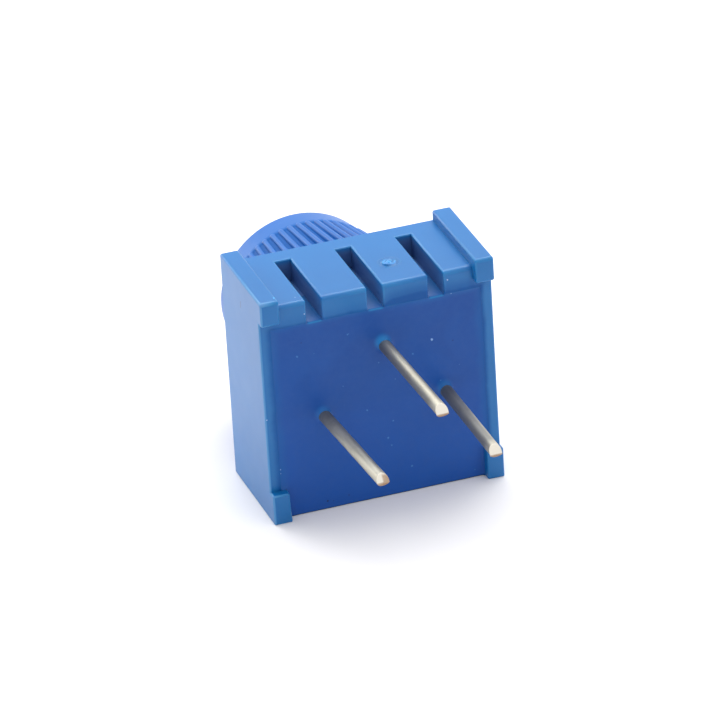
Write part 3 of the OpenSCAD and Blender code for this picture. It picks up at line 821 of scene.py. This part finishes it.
# ---------------------------------------------------------------- potting
def build_potting():
    fx, fz = W2 - FOOT_D[0], FOOT_D[1]                # inner side and top of the lower feet
    zlow = 0.008
    xs, zs = [], []

    def axis_lines(a, b, step, fixed):
        pts = sorted({a, b, *fixed})
        out = []
        for u, v in zip(pts, pts[1:]):
            k = max(1, round((v - u) / step))
            out += [u + (v - u) * i / k for i in range(k)]
        return out + [b]

    slot_x = [i * SLOT_P + s * SLOT_H for i in (-1, 0, 1) for s in (-1, 1)]
    xs = axis_lines(-POCK_X, POCK_X, 0.052, [-fx, fx, -POCK_X + 0.15, POCK_X - 0.15, -POCK_X + 0.03, POCK_X - 0.03] + slot_x)
    zs = axis_lines(zlow, POCK_Z1, 0.052, [0.6, 0.75, fz, POCK_Z1 - 0.15, POCK_Z1 - 0.03, POCK_Z1 - 0.06, 0.02, 0.04])
    pins = [(pin_axis(nm), nm) for nm in PINS]

    def front(x, z):
        y = POT_Y + 0.012
        y += 0.014 * noise.noise(Vector((x * 0.45, z * 0.45, 2.0)))
        y += 0.006 * noise.noise(Vector((x * 1.7, z * 1.7, 5.0)))
        y += 0.0022 * noise.noise(Vector((x * 6.0, z * 6.0, 8.0)))
        # the potting wets the walls
        d = min(POCK_X - abs(x), POCK_Z1 - z)
        y -= 0.045 * math.exp(-d / 0.10)
        # the lower edge between the feet is nearly square
        if z < 0.04 and abs(x) < fx:
            t = 1 - (z - zlow) / (0.04 - zlow)
            y += 0.025 * (1 - math.sqrt(max(0.0, 1 - t * t)))
        if z < fz + 0.3 and abs(x) > fx - 0.3:
            dd = math.hypot(max(0, fx - abs(x)), max(0, z - fz))
            y -= 0.05 * math.exp(-dd / 0.07)
        # rounded edge at the mouth of each slot
        for i in (-1, 0, 1):
            w = SLOT_H - abs(x - i * SLOT_P)
            if w > 0 and z > POCK_Z1 - 0.12:
                t = 1 - (POCK_Z1 - z) / 0.12
                y += 0.10 * (1 - math.sqrt(max(0.0, 1 - t * t))) * smooth(w / 0.05)
        for (p, d3), nm in pins:
            rho = math.hypot(x - p.x + 0.35 * 0, z - p.z)
            h, wdt = (0.15, 0.085) if nm == "terminal_2" else (0.10, 0.07)
            if rho < 1.2:
                y -= h * math.exp(-max(0.0, rho - 0.25) / wdt)
        return y

    def back(xc, zc):
        if abs(xc) > fx and zc < fz:
            return None
        if zc < 0.6:
            return 0.8
        if abs(xc) > POCK_X - 0.15 or zc > POCK_Z1 - 0.15 or zc < 0.75:
            return 2.65
        return 2.05

    bm = bmesh.new()
    nx, nz = len(xs), len(zs)
    cell = {}
    for i in range(nx - 1):
        for j in range(nz - 1):
            b = back((xs[i] + xs[i + 1]) / 2, (zs[j] + zs[j + 1]) / 2)
            if b is not None:
                cell[i, j] = b
    fv, bv = {}, {}

    def F(i, j):
        if (i, j) not in fv:
            fv[i, j] = bm.verts.new((xs[i], front(xs[i], zs[j]), zs[j]))
        return fv[i, j]

    def B(i, j, y):
        if (i, j, y) not in bv:
            bv[i, j, y] = bm.verts.new((xs[i], y, zs[j]))
        return bv[i, j, y]

    for (i, j), b in cell.items():
        bm.faces.new((F(i, j), F(i + 1, j), F(i + 1, j + 1), F(i, j + 1)))
        bm.faces.new((B(i, j, b), B(i, j + 1, b), B(i + 1, j + 1, b), B(i + 1, j, b)))
        for (di, dj), (p, q) in (((-1, 0), ((i, j + 1), (i, j))), ((1, 0), ((i + 1, j), (i + 1, j + 1))),
                                 ((0, -1), ((i, j), (i + 1, j))), ((0, 1), ((i + 1, j + 1), (i, j + 1)))):
            nb = cell.get((i + di, j + dj))
            if nb is None:
                levels = sorted({b, *[y for y in (0.8, 2.05) if False]})
                bm.faces.new((F(*p), B(*p, b), B(*q, b), F(*q)))
            elif nb < b:
                bm.faces.new((B(*p, nb), B(*p, b), B(*q, b), B(*q, nb)))
    return bm


potting = finish_mesh(build_potting(), "potting_fill", "base", ("potting",), 50, (M_POT,))


# ---------------------------------------------------------------- knob
RIBS = 58
RIDGE0 = math.radians(131.67)
SUB = 16


def build_knob():
    n = RIBS * SUB
    k = 0.18
    rt = KRB - k * (KY1 - KY0)

    def env(y):
        return rt + k * (KY1 - y)

    band = 1.24
    yb = KY1 - band                                  # ribs begin here

    def outer(ph, y):
        """ph: offset from the ridge centre, -1..1 over a pitch."""
        e = env(y)
        s = yb - y
        depth = 0.105 + 0.075 * smooth(s / 3.2)
        base = e - 0.035 if s < 0 else e - 0.035 - (depth - 0.035) * smooth(s / 0.34)
        q = (abs(ph) / 0.60) ** 2
        head = max(0.0, 0.20 - (s - 0.02)) / 0.20
        q += head * head
        ridge = e - depth * (1 - math.sqrt(1 - q)) if q < 1 else -1
        # a soft valley so that the foot of a ridge isn't a hard line
        a, b, kk = base, ridge, 0.02
        if b < 0:
            return a
        h = max(kk - abs(a - b), 0.0) / kk
        return max(a, b) + h * h * kk * 0.25

    bm = bmesh.new()
    prof = []            # rows of (y, radius or None for the ribbed surface)
    y = KY0 + 0.05
    rows = [("c", KY0 + 0.05, 0)]
    ys = []
    y = KY0 + 0.06
    while y < yb - 0.5:
        ys.append(y)
        y += 0.17
    y = yb - 0.5
    while y < yb + 0.08:
        ys.append(y)
        y += 0.03
    ys += [KY1 - b for b in (1.05, 0.85, 0.65, 0.45, 0.30, 0.20) if KY1 - b > ys[-1] + 0.02]
    rings = []

    groove_shade_l = bm.verts.layers.float.new("gap")

    def ring(fn, ribbed=True):
        out = []
        for i in range(n):
            a = RIDGE0 + 2 * math.pi * i / n
            ph = ((i / SUB + 0.5) % 1.0 - 0.5) * 2
            rr, yy = fn(ph)
            v = bm.verts.new((rr * math.cos(a), yy, AZ + rr * math.sin(a)))
            # painted shade mask: 1 in the grooves between the ribs, fading out toward the plain band at the far end
            v[groove_shade_l] = smooth((abs(ph) - 0.42) / 0.22) * smooth((yb - 0.06 - yy) / 0.15)
            out.append(v)
        rings.append(out)

    # skirt edge with a small radius, then the ribbed cone
    for a in (0, 30, 60):
        t = math.radians(a)
        ring(lambda ph, t=t: (outer(ph, KY0 + 0.06) - 0.06 * (1 - math.sin(t)) , KY0 + 0.06 * (1 - math.cos(t))))
    for yy in ys:
        ring(lambda ph, yy=yy: (outer(ph, yy), yy))
    # rounded far rim
    R = 0.08
    rr0 = env(KY1) - 0.035
    for a in range(0, 91, 15):
        t = math.radians(a)
        ring(lambda ph, t=t: (rr0 - R * (1 - math.cos(t)) + 0.18 * R * (1 - math.sin(t)), KY1 - R * (1 - math.sin(t))))
    face_r = 2.72
    ring(lambda ph: (face_r, KY1))
    outer_ring = rings[-1]
    for a, b in zip(rings, rings[1:]):
        for i in range(n):
            bm.faces.new((a[i], b[i], b[(i + 1) % n], a[(i + 1) % n]))
    first = rings[0]
    # inside: skirt cavity and hub
    m = 96
    step = n // m if n % m == 0 else None
    inner = [(3.51, KY0), (3.45, KY0 + 0.06), (2.97, KY0 + 2.54), (2.90, KY0 + 2.60), (2.41, KY0 + 2.60),
             (2.35, KY0 + 2.54), (2.35, KY0 + 0.06), (2.29, KY0), (1.61, KY0), (1.55, KY0 + 0.06), (1.55, 8.4)]
    prev = first
    for r, yy in inner:
        cur = [bm.verts.new((r * math.cos(RIDGE0 + 2 * math.pi * i / n), yy, AZ + r * math.sin(RIDGE0 + 2 * math.pi * i / n)))
               for i in range(n)]
        for i in range(n):
            bm.faces.new((prev[i], prev[(i + 1) % n], cur[(i + 1) % n], cur[i]))
        prev = cur
    bm.faces.new(prev)
    # far face with the driver slot; the pointer notch is cut into it afterwards by with_pointer
    def slot_loop(grow):
        w, l = 0.35 + grow, 2.2 + grow
        pts = []
        for cx, cz, a0 in ((w - 0.12, l - 0.12, 0), (-w + 0.12, l - 0.12, 90), (-w + 0.12, -l + 0.12, 180), (w - 0.12, -l + 0.12, 270)):
            for q in range(5):
                t = math.radians(a0 + q * 22.5)
                pts.append((cx + 0.12 * math.cos(t), cz + 0.12 * math.sin(t)))
        return pts

    loops = []
    for lp, depth in ((slot_loop, 0.9),):
        top = [bm.verts.new((x, KY1, AZ + z)) for x, z in lp(0.05)]
        mid = [bm.verts.new((x, KY1 - 0.05, AZ + z)) for x, z in lp(0.0)]
        bot = [bm.verts.new((x, KY1 - depth, AZ + z)) for x, z in lp(0.0)]
        q = len(top)
        for a, b in ((top, mid), (mid, bot)):
            for i in range(q):
                bm.faces.new((a[i], b[i], b[(i + 1) % q], a[(i + 1) % q]))
        bm.faces.new(bot)
        loops.append(top)
    polys = [[v.co.copy() for v in outer_ring]] + [[v.co.copy() for v in lp] for lp in loops]
    flat = list(outer_ring) + [v for lp in loops for v in lp]
    for tri in tessellate_polygon(polys):
        if len(set(tri)) == 3:
            try:
                bm.faces.new([flat[i] for i in tri])
            except ValueError:
                pass
    return bm


def with_pointer(bm):
    """A shallow triangle at one end of the driver slot shows which way the knob is turned."""
    tri = [(-0.62, AZ + 2.1), (0.62, AZ + 2.1), (0.0, AZ + 2.95)]
    return take_bm(combine(temp(bm), temp(prism_bm(tri, KY1 - 0.3, KY1 + 1)), "DIFFERENCE"))


knob = finish_mesh(with_pointer(build_knob()), "knob_ribbed", "adjuster", ("knob",), 45, (M_KNOB,))

# ---------------------------------------------------------------- inner parts
INNER = {
    "rotor": mat_matte("rotor_plastic", (0.62, 0.60, 0.52), (0.72, 0.70, 0.62), 0.48),
    "o_ring": mat_matte("seal_rubber", (0.012, 0.012, 0.014), (0.03, 0.03, 0.032), 0.62),
    "wiper": mat_metal("contact_spring", (0.70, 0.52, 0.26), (0.83, 0.66, 0.38), 0.30, stretch=(1, 0.2, 1)),
    "element_substrate": mat_matte("alumina", (0.80, 0.79, 0.74), (0.88, 0.87, 0.83), 0.66),
    "resistive_track": mat_matte("resistive_ink", (0.010, 0.010, 0.012), (0.022, 0.022, 0.026), 0.38),
    "conductor": mat_metal("conductor_ink", (0.60, 0.59, 0.55), (0.74, 0.73, 0.70), 0.42),
    "solder": mat_metal("solder", (0.62, 0.63, 0.64), (0.78, 0.79, 0.80), 0.24),
}
for node, ob in NODES.items():
    key = node if node in INNER else "solder" if node.startswith("solder") else "conductor"
    if node in ("housing", "potting", "knob") or node.startswith("terminal"):
        continue
    for s in ob.material_slots:
        s.material = INNER[key]

# ---------------------------------------------------------------- stage and light
bm = bmesh.new()
bmesh.ops.create_grid(bm, x_segments=1, y_segments=1, size=1.2)
me = bpy.data.meshes.new("floor")
bm.to_mesh(me)
bm.free()
floor = bpy.data.objects.new("floor", me)
scene.collection.objects.link(floor)
ft = Tree("floor_paper")
ft.set(Roughness=0.9, Specular_IOR_Level=0.1)
fn = ft.noise(30, 3, 0.5)
ft.link(ft.mix(ft.remap(fn, 0.3, 0.7, 0, 1), (0.875, 0.87, 0.88), (0.90, 0.895, 0.905)), "Base Color")
me.materials.append(ft.mat)

world = bpy.data.worlds.new("world")
scene.world = world
world.use_nodes = True
wt = world.node_tree
wt.nodes.clear()
wo = wt.nodes.new("ShaderNodeOutputWorld")
wb = wt.nodes.new("ShaderNodeBackground")
wb.inputs["Color"].default_value = (1.0, 0.995, 1.0, 1)
tc = wt.nodes.new("ShaderNodeTexCoord").outputs["Generated"]
dot = wt.nodes.new("ShaderNodeVectorMath")
dot.operation = "DOT_PRODUCT"
dot.inputs[1].default_value = Vector((0.12, 0.85, 0.36)).normalized()
wt.links.new(tc, dot.inputs[0])
mr = wt.nodes.new("ShaderNodeMapRange")
mr.interpolation_type = "SMOOTHSTEP"
for i, v in zip(("From Min", "From Max", "To Min", "To Max"), (-0.50, 0.85, 0.65, 1.02)):
    mr.inputs[i].default_value = v
wt.links.new(dot.outputs["Value"], mr.inputs["Value"])
dot2 = wt.nodes.new("ShaderNodeVectorMath")
dot2.operation = "DOT_PRODUCT"
dot2.inputs[1].default_value = Vector((0.25, -0.62, 0.74)).normalized()
wt.links.new(tc, dot2.inputs[0])
mr2 = wt.nodes.new("ShaderNodeMapRange")
mr2.interpolation_type = "SMOOTHSTEP"
for i, v in zip(("From Min", "From Max", "To Min", "To Max"), (0.72, 0.94, 0.0, 0.55)):
    mr2.inputs[i].default_value = v
wt.links.new(dot2.outputs["Value"], mr2.inputs["Value"])
both = wt.nodes.new("ShaderNodeMath")
both.operation = "ADD"
wt.links.new(mr.outputs["Result"], both.inputs[0])
wt.links.new(mr2.outputs["Result"], both.inputs[1])
wt.links.new(both.outputs[0], wb.inputs["Strength"])
wt.links.new(wb.outputs[0], wo.inputs[0])


def area(name, loc, target, size, power, color=(1, 1, 1)):
    l = bpy.data.lights.new(name, "AREA")
    l.shape = "RECTANGLE"
    l.size, l.size_y = size
    l.energy = power
    l.color = color
    o = bpy.data.objects.new(name, l)
    o.location = loc
    d = Vector(target) - Vector(loc)
    o.rotation_euler = d.to_track_quat("-Z", "Y").to_euler()
    scene.collection.objects.link(o)
    return o


area("softbox_back", (0.025, 0.115, 0.23), (0, 0, 0.004), (0.30, 0.20), 0.62)
area("window_left", (-0.135, 0.262, 0.085), (0, 0, 0.004), (0.10, 0.10), 0.16)

scene.view_settings.view_transform = "Standard"
scene.view_settings.look = "None"
scene.view_settings.exposure = 0.0
scene.view_settings.gamma = 1.0

for me in [m for m in bpy.data.meshes if m.users == 0]:
    bpy.data.meshes.remove(me)
